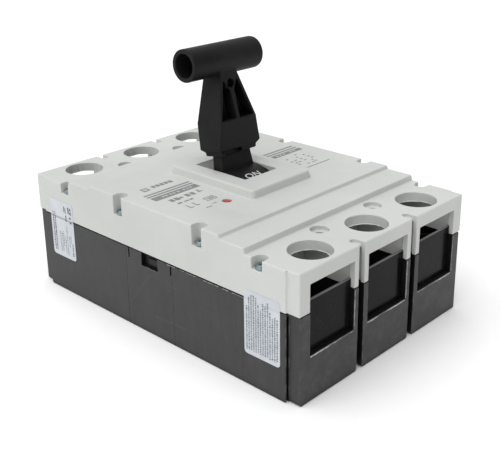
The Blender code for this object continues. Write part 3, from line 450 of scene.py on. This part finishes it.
# widths of the rounded edges, in mm; 0 leaves a node without modifiers
EDGE_WIDTH = (("base_housing", 0.04), ("top_cover", 0.5), ("extension_handle", 0.7),
              ("terminal_plate", 0.25), ("toggle", 0.3), ("cover_screw", 0.15),
              ("side_label", 0.0), ("main_spring", 0.0), ("trip_bar_spring", 0.0))
OTHER_EDGE_WIDTH = 0.3
FINE_EDGE = 0.1                # a narrower bevel is clamped, or it spikes at the legs' feet
WELD_M = 0.00001
FLAT_ANGLE = math.radians(0.6)
SHARP_ANGLE = math.radians(38)


def first_match(pairs, name, otherwise):
    """The value of the first pair whose text the name starts with."""
    for start, value in pairs:
        if name.startswith(start):
            return value
    return otherwise


def soften(obj, width):
    """Rounds the sharp edges without touching the node's own mesh."""
    weld = obj.modifiers.new("weld", "WELD")
    weld.merge_threshold = WELD_M
    flat = obj.modifiers.new("flat", "DECIMATE")
    flat.decimate_type = "DISSOLVE"
    flat.angle_limit = FLAT_ANGLE
    bevel = obj.modifiers.new("round", "BEVEL")
    bevel.width = width * MM
    bevel.segments = 2
    bevel.limit_method = "ANGLE"
    bevel.angle_limit = SHARP_ANGLE
    bevel.use_clamp_overlap = width < FINE_EDGE
    bevel.miter_outer = "MITER_ARC"
    level = obj.modifiers.new("level", "WEIGHTED_NORMAL")
    level.mode = "FACE_AREA"
    level.weight = 90
    level.keep_sharp = False


def drop_stored_normals(mesh):
    """The modifiers work out their own normals, so the stored ones go."""
    stored = mesh.attributes.get("custom_normal")
    if stored is not None:
        mesh.attributes.remove(stored)
    for polygon in mesh.polygons:
        polygon.use_smooth = True


def finish_nodes(finishes):
    """Gives each CAD node the finish of its slot, and its edges."""
    for name, obj in NODES.items():
        slot = first_match(SLOT_OF, name, "steel")
        look = "braid" if name.startswith("flexible_braid") else slot
        obj.data.materials.clear()
        obj.data.materials.append(finishes[look].material)
        width = first_match(EDGE_WIDTH, name, OTHER_EDGE_WIDTH)
        if width:
            drop_stored_normals(obj.data)
            soften(obj, width)


# ---- thin pieces: print, words, burrs ----------------------------------------------------
def add_piece(name, bm, look, body):
    """Turns bm into a piece with one finish, which rides on a body."""
    bmesh.ops.recalc_face_normals(bm, faces=bm.faces)
    mesh = bpy.data.meshes.new(name)
    bm.to_mesh(mesh)
    bm.free()
    mesh.materials.append(look.material)
    piece = bpy.data.objects.new(name, mesh)
    bpy.context.scene.collection.objects.link(piece)
    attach(piece, body)


def add_slab(bm, corners, place, thickness=PRINT_MM):
    """A thin plate over four (u, v) corners; place turns (u, v, height) into a point."""
    low = [bm.verts.new(place(u, v, -SUNK_MM)) for u, v in corners]
    high = [bm.verts.new(place(u, v, thickness)) for u, v in corners]
    bm.faces.new(low)
    bm.faces.new(high)
    for i in range(4):
        j = (i + 1) % 4
        bm.faces.new((low[i], low[j], high[j], high[i]))


def printed(name, shapes, place, look, body, thickness=PRINT_MM):
    bm = bmesh.new()
    for corners in shapes:
        add_slab(bm, corners, place, thickness)
    add_piece(name, bm, look, body)


def rect(u0, v0, u1, v1):
    return [(u0, v0), (u1, v0), (u1, v1), (u0, v1)]


def stroke(points, width):
    """Plates along a line, cut short enough to follow a curved ground."""
    plates = []
    for (u0, v0), (u1, v1) in zip(points, points[1:]):
        length = math.hypot(u1 - u0, v1 - v0)
        along_u, along_v = (u1 - u0) / length, (v1 - v0) / length
        side_u, side_v = -along_v * width / 2, along_u * width / 2
        steps = max(1, math.ceil(length / STROKE_STEP_MM))
        for i in range(steps):
            a, b = length * i / steps, length * (i + 1) / steps
            plates.append([(u0 + along_u * t + side_u * s, v0 + along_v * t + side_v * s)
                           for t, s in ((a, -1), (b, -1), (b, 1), (a, 1))])
    return plates


def ring(centre_u, half_u, half_v, width):
    """An oval stroke."""
    turns = [math.tau * i / RING_STEPS for i in range(RING_STEPS + 1)]
    points = [(centre_u + half_u * math.cos(t), half_v * math.sin(t)) for t in turns]
    return stroke(points, width)


def on_platform(u, v, height):
    return Vector((u, v, PLATFORM_MM + height)) * MM


def on_left_side(u, v, height):
    return Vector((-HALF_W_MM - height, u, v)) * MM


def on_label(name):
    """Ground of a side label: u from its left edge, v down from its top, both 0 to 1."""
    low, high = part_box(name)

    def place(u, v, height):
        return Vector((low.x - height * MM, high.y + (low.y - high.y) * u,
                       high.z + (low.z - high.z) * v))
    return place


def on_shutter(middle_mm):
    """Ground on the curved shutter: u across, v along its arc from middle_mm."""
    def place(u, v, height):
        angle = LEAN + (middle_mm + v) / SHUTTER_R_MM
        radius = SHUTTER_R_MM + height
        return Vector((u, radius * math.sin(angle), PIVOT_MM + radius * math.cos(angle))) * MM
    return place


def make_cover_print():
    """Rating lines, bars and dots on both sides of the collar; they say nothing."""
    dark = [rect(-78.6, 17.0, -36.0, 18.9), rect(-78.8, 13.2, -35.9, 15.1),
            rect(-78.4, 4.8, -36.6, 11.6), rect(44.9, 17.7, 79.7, 19.6),
            rect(44.8, 13.5, 79.6, 15.4), rect(45.6, 6.6, 79.3, 11.6)]
    dark += [rect(u, -4.6, u + 3.4, 0.4) for u in (-71.8, -67.3, -57.4, -52.6)]
    dark += [rect(-63.6, -3.4, -60.2, -1.2), rect(-46.6, -3.6, -42.2, -2.4),
             rect(-45.4, -1.8, -43.6, 1.2), rect(-71.9, 25.0, -66.0, 31.0)]
    dark += [rect(u, 26.6, u + 3.1, 30.8) for u in (-62.4, -58.4, -54.4, -50.4, -46.4)]
    printed("cover_print_dark", dark, on_platform, FINISHES["grey_ink"], "breaker")
    pale = [rect(u, 7.2, u + 1.8, 9.4) for u in (-70, -67, -63, -60, -56, -50.5, -47, -44)]
    pale += [rect(u, 8.0, u + 2.2, 10.2) for u in (50, 54, 58, 66, 70)]
    pale += [rect(-70.6, 26.4, -67.3, 29.6)]
    printed("cover_print_pale", pale, on_platform, FINISHES["pale_ink"], "breaker",
            PALE_PRINT_MM)
    small = [rect(-71.4, -10.8, -67.6, -8.6), rect(-65.6, -10.8, -61.6, -9.0),
             rect(-60.6, -10.8, -57.4, -8.6), rect(-70.6, -21.6, -69.6, -16.2),
             rect(-70.6, -22.4, -67.4, -21.4), rect(-64.4, -21.0, -63.4, -15.4),
             rect(-64.4, -21.8, -61.6, -20.8), rect(-55.0, -27.6, -51.6, -26.6),
             rect(-63.4, -30.2, -58.4, -29.2), rect(46.0, -26.7, 73.1, -25.6)]
    small += stroke([(-53.2, -20.8), (-44.8, -20.8), (-44.8, -15.2), (-53.2, -15.2),
                     (-53.2, -20.8)], 0.8)
    small += stroke([(-51.2, -18.9), (-46.6, -18.9), (-46.6, -17.1), (-51.2, -17.1)], 1.0)
    dots = ((63.5, 1.1), (68.2, -3.5), (68.3, -8.3), (68.4, -12.2), (59.7, -3.9), (59.6, -8.5),
            (59.3, -12.7), (64.0, -16.4), (53.2, -8.4), (53.1, -12.8), (60.3, -20.3),
            (63.9, -19.9), (49.7, -2.4), (48.3, -9.0), (49.3, -12.9), (48.0, -16.9),
            (54.8, -20.3))
    small += [rect(u - 1.2, v - 0.7, u + 1.2, v + 0.7) for u, v in dots]
    printed("cover_print_small", small, on_platform, FINISHES["grey_ink"], "breaker")


def text_like(columns, dice, width):
    """Columns of short dashes; each column is (u, first v, last v)."""
    dashes = []
    for u, v, last in columns:
        while v < last:
            end = min(last, v + dice.uniform(0.008, 0.032))
            wide = width * dice.uniform(0.7, 1.15)
            dashes.append(rect(u - wide / 2, v, u + wide / 2, end))
            v = end + dice.uniform(0.006, 0.014)
    return dashes


def make_label_print():
    dice = random.Random(11)
    tops = (0.24, 0.10, 0.06, 0.05, 0.07, 0.16, 0.22, 0.12, 0.14, 0.08, 0.21, 0.28, 0.25, 0.27)
    columns = [(0.075 + 0.0655 * i, top, 0.94 - dice.uniform(0, 0.02))
               for i, top in enumerate(tops)]
    printed("load_label_print", text_like(columns, dice, 0.038), on_label("side_label_load"),
            FINISHES["label_ink"], "breaker", LABEL_PRINT_MM)
    columns = [(0.38, 0.55, 0.92), (0.46, 0.57, 0.90), (0.52, 0.53, 0.80), (0.60, 0.60, 0.93),
               (0.68, 0.42, 0.94), (0.77, 0.58, 0.78), (0.84, 0.57, 0.70)]
    printed("line_label_print", text_like(columns, dice, 0.036), on_label("side_label_line"),
            FINISHES["label_ink"], "breaker", LABEL_PRINT_MM)
    marks = [rect(0.60, 0.07, 0.635, 0.17), rect(0.66, 0.09, 0.69, 0.19),
             rect(0.78, 0.06, 0.83, 0.17), rect(0.86, 0.07, 0.92, 0.11),
             rect(0.86, 0.13, 0.92, 0.18), rect(0.66, 0.22, 0.70, 0.33),
             rect(0.82, 0.23, 0.90, 0.26), rect(0.84, 0.31, 0.92, 0.34)]
    columns = [(0.10, 0.23, 0.93), (0.18, 0.23, 0.92), (0.90, 0.70, 0.93)]
    marks += text_like(columns, dice, 0.05)
    printed("line_label_marks", marks, on_label("side_label_line"), FINISHES["label_black"],
            "breaker", LABEL_PRINT_MM)


def make_words():
    """The two generic words of a switch, raised in white on the shutter."""
    width, tall = 1.05, 2.45
    letter_n = stroke([(1.7, -tall), (1.7, tall)], width)
    letter_n += stroke([(1.7, tall), (6.7, -tall)], width)
    letter_n += stroke([(6.7, -tall), (6.7, tall)], width)
    printed("word_on", ring(-3.6, 3.0, tall, width) + letter_n, on_shutter(-WORD_ARC_MM),
            FINISHES["white_ink"], "toggle", WORD_MM)
    letters = ring(-6.6, 2.8, tall, width)
    for left in (-1.4, 5.0):
        letters += stroke([(left, -tall), (left, tall)], width)
        letters += stroke([(left, tall - width / 2), (left + 4.2, tall - width / 2)], width)
        letters += stroke([(left, 0.0), (left + 3.4, 0.0)], width)
    printed("word_off", letters, on_shutter(WORD_ARC_MM), FINISHES["white_ink"], "toggle",
            WORD_MM)


def skin(bm, rows, following):
    """Faces between each row of four corners and the row that follows it."""
    for first, second in zip(rows, following):
        for i in range(4):
            j = (i + 1) % 4
            bm.faces.new((first[i], first[j], second[j], second[i]))


def burr(bm, start, end, across, outward, dice, width):
    """A ragged thin ribbon along an edge; across is the way it spreads."""
    length = (end - start).length
    steps = max(8, int(length / BURR_STEP_MM))
    rows = []
    reach = width
    for i in range(steps + 1):
        reach = min(width * 1.7, max(0.08, reach + dice.uniform(-0.45, 0.45) * width))
        point = start.lerp(end, i / steps)
        lift = outward * dice.uniform(0.04, 0.12)
        rows.append([bm.verts.new((point - outward * BURR_FOOT_MM) * MM),
                     bm.verts.new((point + lift) * MM),
                     bm.verts.new((point + across * reach + lift) * MM),
                     bm.verts.new((point + across * reach - outward * BURR_FOOT_MM) * MM)])
    skin(bm, rows, rows[1:])
    bm.faces.new(rows[0])
    bm.faces.new(rows[-1])


def make_window_wear():
    """Bright ragged edges of the terminal windows in the base, at both ends."""
    dice = random.Random(5)
    for label, sign in (("load", -1.0), ("line", 1.0)):
        bm = bmesh.new()
        outward = Vector((0, sign, 0))
        face = sign * HALF_L_MM
        for pole in POLES_MM:
            low = Vector((pole - WINDOW_HALF_MM + 0.4, face, SILL_MM - 0.5))
            high = Vector((pole + WINDOW_HALF_MM - 0.4, face, SILL_MM - 0.5))
            burr(bm, low, high, Vector((0, 0, -1)), outward, dice, 0.5)
            edge_x = pole - sign * (WINDOW_HALF_MM + 0.45)
            foot = Vector((edge_x, face, SILL_MM + 0.6))
            head = Vector((edge_x, face, SEAM_MM - 1.2))
            burr(bm, foot, head, Vector((-sign, 0, 0)), outward, dice, 0.35)
        add_piece(f"window_wear_{label}", bm, FINISHES["worn"], "breaker")


def make_seam_wear():
    """Flecks of light flash along the housing's top edge on the left side."""
    dice = random.Random(9)
    bm = bmesh.new()
    y, last = SEAM_WEAR_MM
    while y > last:
        end = max(last, y - dice.uniform(3.0, 14.0))
        start = Vector((-HALF_W_MM, y, SEAM_MM - 0.5))
        burr(bm, start, Vector((-HALF_W_MM, end, start.z)), Vector((0, 0, -1)),
             Vector((-1, 0, 0)), dice, 0.16)
        y = end - dice.uniform(1.0, 7.0)
    add_piece("seam_wear", bm, FINISHES["worn"], "breaker")


def make_hole_flash():
    """Ragged moulding flash round the lower rims of the bolt access holes."""
    dice = random.Random(3)
    turns = [math.tau * i / FLASH_STEPS for i in range(FLASH_STEPS)]
    for label, sign, reach in (("load", -1, 1.3), ("line", 1, 0.5)):
        bm = bmesh.new()
        for pole in POLES_MM:
            middle = Vector((pole, sign * BOLT_Y_MM, ROOF_MM))
            inner = reach / 2
            rows = []
            for turn in turns:
                inner = min(reach, max(0.05, inner + dice.uniform(-0.3, 0.3) * reach))
                out = Vector((math.cos(turn), math.sin(turn), 0.0))
                corners = ((BOLT_HOLE_MM + 0.1, 0.0), (BOLT_HOLE_MM - inner, 0.1),
                           (BOLT_HOLE_MM - inner, 0.3), (BOLT_HOLE_MM + 0.1, 0.4))
                rows.append([bm.verts.new((middle + out * radius + Vector((0, 0, lift))) * MM)
                             for radius, lift in corners])
            skin(bm, rows, rows[1:] + rows[:1])
        add_piece(f"hole_flash_{label}", bm, FINISHES["cover_plastic"], "breaker")


def make_side_scratch():
    """A long faint rub mark across the base's left side."""
    line = stroke([(-1.8, 49.0), (9.6, 36.4), (23.3, 18.4)], 1.3)
    printed("side_scratch", line, on_left_side, FINISHES["scuff"], "breaker", RUB_MARK_MM)


def make_details():
    make_cover_print()
    make_label_print()
    make_words()
    make_window_wear()
    make_seam_wear()
    make_hole_flash()
    make_side_scratch()


# ---- stage, light and camera -----------------------------------------------------------
FLOOR_HALF = 6.0
FLOOR_DROP = 0.2 * MM          # keeps the floor clear of the base's underside


def make_floor():
    mesh = bpy.data.meshes.new("floor")
    bm = bmesh.new()
    bmesh.ops.create_grid(bm, x_segments=4, y_segments=4, size=FLOOR_HALF)
    bm.to_mesh(mesh)
    bm.free()
    floor = bpy.data.objects.new("floor", mesh)
    bpy.context.scene.collection.objects.link(floor)
    floor.location.z = -FLOOR_DROP
    mesh.materials.append(floor_finish().material)


def make_sky_panel(name, towards, strength, spread_deg):
    """A very wide, distant soft light that comes from the direction towards."""
    data = bpy.data.lights.new(name, "SUN")
    data.energy = strength
    data.angle = math.radians(spread_deg)
    light = bpy.data.objects.new(name, data)
    light.rotation_mode = "QUATERNION"
    light.rotation_quaternion = Vector(towards).to_track_quat("Z", "Y")
    bpy.context.scene.collection.objects.link(light)


def make_world(load_side, line_side):
    """White surroundings, dimmer on the load end's side than on the line end's."""
    world = bpy.data.worlds.new("studio")
    world.use_nodes = True
    tree = world.node_tree
    split = tree.nodes.new("ShaderNodeSeparateXYZ")
    ramp = tree.nodes.new("ShaderNodeMapRange")
    ramp.interpolation_type = "SMOOTHSTEP"
    for key, number in (("From Min", -0.9), ("From Max", 0.5),
                        ("To Min", load_side), ("To Max", line_side)):
        ramp.inputs[key].default_value = number
    where = tree.nodes.new("ShaderNodeTexCoord").outputs["Generated"]
    back = tree.nodes["Background"]
    back.inputs["Color"].default_value = (1.0, 1.0, 1.0, 1.0)
    tree.links.new(where, split.inputs["Vector"])
    tree.links.new(split.outputs["Y"], ramp.inputs["Value"])
    tree.links.new(ramp.outputs["Result"], back.inputs["Strength"])
    bpy.context.scene.world = world


def make_studio():
    make_floor()
    make_world(0.40, 0.80)
    make_sky_panel("soft_key", (-0.40, -0.04, 0.91), 1.95, 75)
    view = bpy.context.scene.view_settings
    view.view_transform = "Standard"
    view.look = "None"
    view.exposure = 0.0


def make_camera():
    sin_a, cos_a = math.sin(CAM_AZIMUTH), math.cos(CAM_AZIMUTH)
    sin_e, cos_e = math.sin(CAM_ELEVATION), math.cos(CAM_ELEVATION)
    back = Vector((sin_a * cos_e, -cos_a * cos_e, sin_e))
    right = Vector((cos_a, sin_a, 0.0))
    up = back.cross(right)
    turned_right = right * math.cos(CAM_ROLL) + up * math.sin(CAM_ROLL)
    turned_up = up * math.cos(CAM_ROLL) - right * math.sin(CAM_ROLL)
    data = bpy.data.cameras.new("camera")
    data.sensor_width = 36.0
    data.lens = CAM_LENS
    data.shift_y = CAM_SHIFT_Y
    data.clip_start, data.clip_end = 0.01, 30.0
    camera = bpy.data.objects.new("camera", data)
    place = Vector((0, 0, CAM_AIM_Z)) + back * CAM_DISTANCE
    place += turned_right * CAM_SIDE + turned_up * CAM_UP
    turn = Matrix((turned_right, turned_up, back)).transposed().to_4x4()
    camera.matrix_world = Matrix.Translation(place) @ turn
    bpy.context.scene.collection.objects.link(camera)
    bpy.context.scene.camera = camera


FINISHES = make_finishes()
finish_nodes(FINISHES)
make_details()
make_studio()
make_camera()
